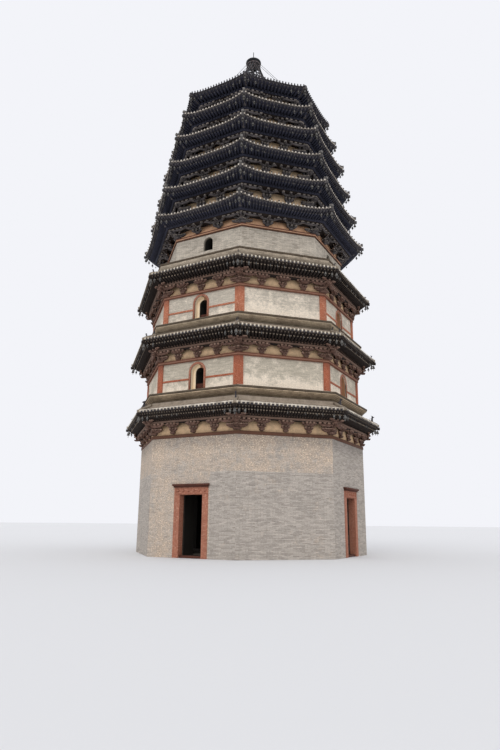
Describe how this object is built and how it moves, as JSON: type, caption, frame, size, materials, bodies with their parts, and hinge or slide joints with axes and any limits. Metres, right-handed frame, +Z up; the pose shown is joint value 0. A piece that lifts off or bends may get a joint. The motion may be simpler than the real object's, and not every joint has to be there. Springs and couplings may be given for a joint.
{
  "type": "octagonal brick and timber pagoda, scale model 1:2",
  "caption": "Octagonal pagoda as a half-size model: masonry lower storeys, bracketed tiled eaves, low timber upper storeys and an iron finial, hollow with open doorways and arched windows.",
  "frame": {"origin": "centre of the base at ground level", "axes": "+Z up, -Y out of the front doorway, +X out of the doorway on the right"},
  "size_m": [8.4258, 8.4258, 20.775],
  "materials": {
    "worn_brick": "weathered grey-buff brick",
    "limewashed_brick": "worn limewash over brick",
    "grey_brick": "pale grey brick",
    "ledge_brick": "stained brown-grey brick",
    "floor_brick": "worn floor brick",
    "red_timber": "faded red paint on timber",
    "low_brackets": "faded purple-brown painted timber, ochre plaster between",
    "high_brackets": "dark grey-green weathered timber",
    "roof_tiles": "weathered grey clay tiles",
    "iron": "dark rusted iron"
  },
  "bodies": {
    "root": {"ground_wall_front": "worn_brick", "ground_wall_front_right": "worn_brick", "ground_wall_right": "worn_brick", "ground_wall_back_right": "worn_brick", "ground_wall_back": "worn_brick", "ground_wall_back_left": "worn_brick", "ground_wall_left": "worn_brick", "ground_wall_front_left": "worn_brick", "portal_front": "red_timber", "portal_right": "red_timber", "portal_back": "red_timber", "portal_left": "red_timber", "ground_floor": "floor_brick", "ground_brackets": "low_brackets", "first_eave": "roof_tiles", "first_ledge": "ledge_brick", "second_floor": "floor_brick", "second_wall": "limewashed_brick", "second_pillar_frame": "red_timber", "second_brackets": "low_brackets", "second_eave": "roof_tiles", "second_ledge": "ledge_brick", "third_floor": "floor_brick", "third_wall": "limewashed_brick", "third_pillar_frame": "red_timber", "third_brackets": "low_brackets", "third_eave": "roof_tiles", "third_ledge": "ledge_brick", "fourth_floor": "floor_brick", "fourth_wall": "grey_brick", "fourth_brackets": "high_brackets", "fourth_eave": "roof_tiles", "fifth_storey": "high_brackets", "fifth_eave": "roof_tiles", "sixth_storey": "high_brackets", "sixth_eave": "roof_tiles", "seventh_storey": "high_brackets", "seventh_eave": "roof_tiles", "eighth_storey": "high_brackets", "eighth_eave": "roof_tiles", "ninth_storey": "high_brackets", "ninth_eave_and_roof": "roof_tiles", "finial_base": "worn_brick", "finial_cage": "iron", "finial_mast": "iron", "finial_cap": "iron", "stay_front_1": "iron", "stay_front_2": "iron", "stay_right_1": "iron", "stay_right_2": "iron", "stay_back_1": "iron", "stay_back_2": "iron", "stay_left_1": "iron", "stay_left_2": "iron", "finial_rod": "iron"}
  },
  "joints": []
}
